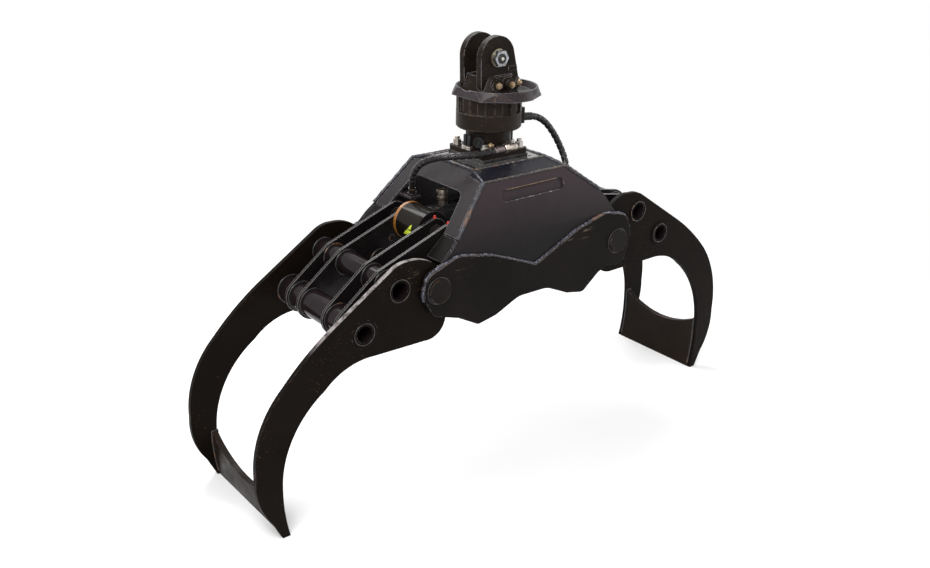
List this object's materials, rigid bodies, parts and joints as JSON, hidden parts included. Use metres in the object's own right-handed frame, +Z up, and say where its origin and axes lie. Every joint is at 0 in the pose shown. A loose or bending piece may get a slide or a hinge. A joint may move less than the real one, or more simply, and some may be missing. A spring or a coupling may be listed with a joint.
{
  "type": "log grapple",
  "caption": "Hydraulic log grapple with two curved jaws, a cylinder and tie rod in a welded frame, and a rotator with a two-ear crane fork.",
  "frame": {"origin": "on the floor under the middle of the standing grapple, jaws fully open", "axes": "+Z up, +X along the jaw opening towards the narrow jaw, +Y across the jaws"},
  "size_m": [1.9772, 0.502, 1.334],
  "materials": {
    "frame_paint": "satin near-black paint",
    "jaw_paint": "satin near-black paint, dusty and worn at the edges",
    "rotator_paint": "semi-matt black paint",
    "cylinder_paint": "gloss black paint",
    "pin_steel": "painted steel pin",
    "zinc": "zinc-plated steel",
    "rod_chrome": "hard chrome",
    "brass": "dull brass",
    "hose_rubber": "matt black rubber",
    "red_cap": "red plastic"
  },
  "bodies": {
    "frame": {"frame_side_near": "frame_paint", "frame_side_far": "frame_paint", "ear_doubler_near": "frame_paint", "ear_doubler_far": "frame_paint", "top_plate": "frame_paint", "shoulders": "frame_paint", "left_end_plate": "frame_paint", "right_end_plate": "frame_paint", "leg_strips": "frame_paint", "belly_plate": "frame_paint", "left_main_pin": "pin_steel", "right_main_pin": "pin_steel", "pin_retainers": "pin_steel", "left_hose_bracket": "frame_paint", "right_hose_bracket": "frame_paint", "left_bulkhead_fitting": "zinc", "right_bulkhead_fitting": "zinc", "rotor_flange": "rotator_paint", "flange_bolts": "zinc", "rotor": "rotator_paint", "left_hose_elbow": "zinc", "right_hose_nipple": "zinc", "left_hose": "hose_rubber", "right_hose": "hose_rubber"},
    "left_jaw": {"left_jaw_plate_near": "jaw_paint", "left_jaw_plate_far": "jaw_paint", "left_jaw_tip_plate": "jaw_paint", "left_upper_tube": "jaw_paint", "left_lower_tube": "jaw_paint", "left_pivot_tubes": "jaw_paint", "left_lugs": "jaw_paint", "left_cylinder_pin": "pin_steel", "left_grease_caps": "red_cap", "left_link_pin": "pin_steel"},
    "right_jaw": {"right_jaw_plate_near": "jaw_paint", "right_jaw_plate_far": "jaw_paint", "right_jaw_tip_plate": "jaw_paint", "right_upper_tube": "jaw_paint", "right_lower_tube": "jaw_paint", "right_pivot_tubes": "jaw_paint", "right_lugs": "jaw_paint", "right_cylinder_pin": "pin_steel", "right_grease_caps": "red_cap", "right_link_pin": "pin_steel"},
    "cylinder": {"cylinder_base_eye": "cylinder_paint", "cylinder_barrel": "cylinder_paint", "cylinder_gland": "cylinder_paint", "cylinder_ports": "zinc"},
    "rod": {"piston": "cylinder_paint", "piston_rod": "rod_chrome", "rod_eye": "cylinder_paint"},
    "tie_rod": {"tie_rod": "frame_paint"},
    "rotator_head": {"stator_ring": "rotator_paint", "guard_collar": "rotator_paint", "rotator_head": "rotator_paint", "port_plugs": "brass", "crane_bolt": "zinc", "crane_washer": "zinc", "crane_nut": "zinc"}
  },
  "joints": [
    {"name": "left_jaw_pivot", "type": "hinge", "parent": "frame", "child": "left_jaw", "pos_m": [-0.372, 0, 0.65], "axis": [0, -1, 0], "range_deg": [0, 65]},
    {"name": "right_jaw_pivot", "type": "hinge", "parent": "frame", "child": "right_jaw", "pos_m": [0.372, 0, 0.65], "axis": [0, 1, 0], "range_deg": [0, 65]},
    {"name": "cylinder_base_pivot", "type": "hinge", "parent": "left_jaw", "child": "cylinder", "pos_m": [-0.264, 0, 0.766], "axis": [0, 1, 0], "range_deg": [0, 65]},
    {"name": "rod_eye_pivot", "type": "hinge", "parent": "right_jaw", "child": "rod", "pos_m": [0.264, 0, 0.766], "axis": [0, -1, 0], "range_deg": [0, 65]},
    {"name": "tie_rod_pivot", "type": "hinge", "parent": "left_jaw", "child": "tie_rod", "pos_m": [-0.32902, 0, 0.71747], "axis": [0, 1, 0], "range_deg": [0, 65]},
    {"name": "rotator_turn", "type": "hinge", "parent": "frame", "child": "rotator_head", "pos_m": [0, 0, 1.1], "axis": [0, 0, 1], "continuous": true}
  ],
  "couplings": [
    {"joint": "right_jaw_pivot", "follows": "left_jaw_pivot", "ratio": 1},
    {"joint": "cylinder_base_pivot", "follows": "left_jaw_pivot", "ratio": 1},
    {"joint": "rod_eye_pivot", "follows": "left_jaw_pivot", "ratio": 1},
    {"joint": "tie_rod_pivot", "follows": "left_jaw_pivot", "ratio": 1}
  ]
}
